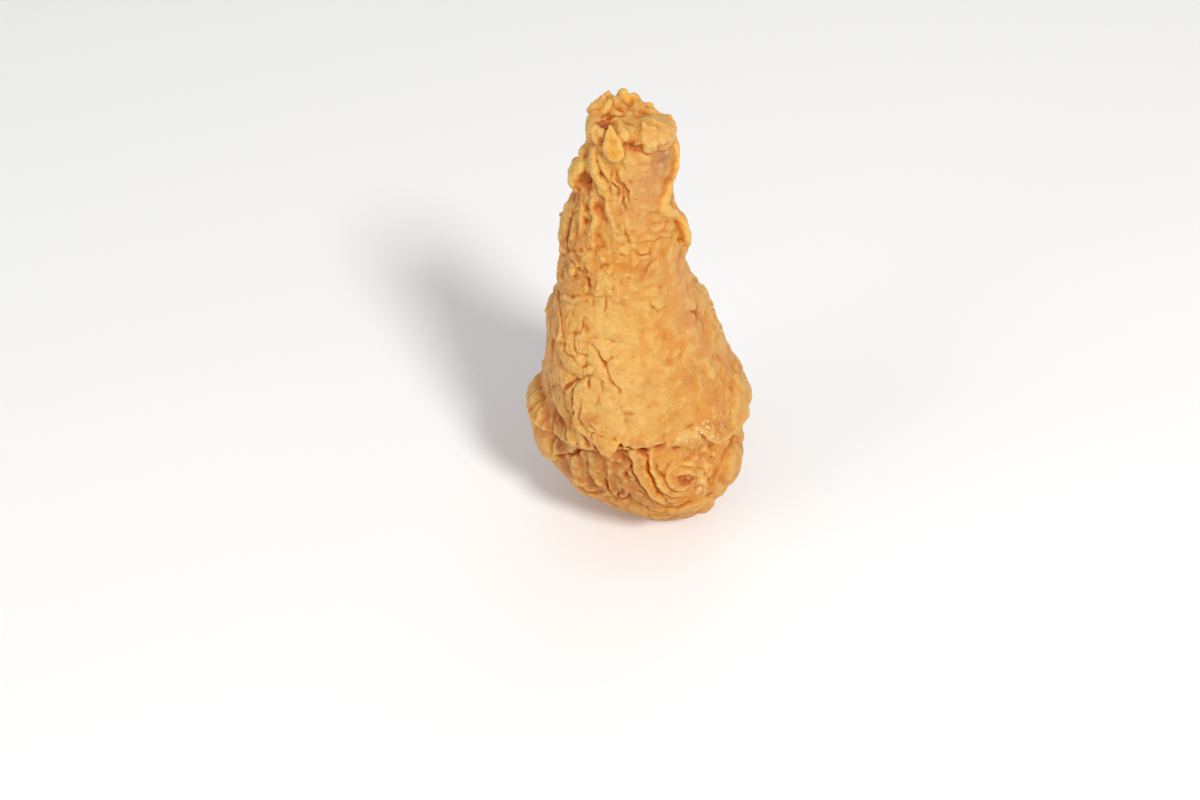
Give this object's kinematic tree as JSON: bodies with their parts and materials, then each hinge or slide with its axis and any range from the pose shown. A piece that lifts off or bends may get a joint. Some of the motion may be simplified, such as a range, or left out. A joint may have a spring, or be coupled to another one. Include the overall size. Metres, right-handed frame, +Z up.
{
  "type": "fried chicken leg",
  "caption": "Battered and fried chicken drumstick that stands on its thick end, with a craggy, folded golden crust up to the knuckle.",
  "frame": {"origin": "middle of the flat spot under the thick end that the leg stands on", "axes": "+Z up the leg to the knuckle, -Y towards the side that shows best, +X to that side's right; the leg leans a little towards -X"},
  "size_m": [0.0588, 0.0547, 0.1267],
  "materials": {
    "fried_crust": "golden fried flour crust, mostly matt, with darker orange creases, pinkish patches where the skin shows and a few oily glints"
  },
  "bodies": {
    "root": {"fried_leg": "fried_crust"}
  },
  "joints": []
}
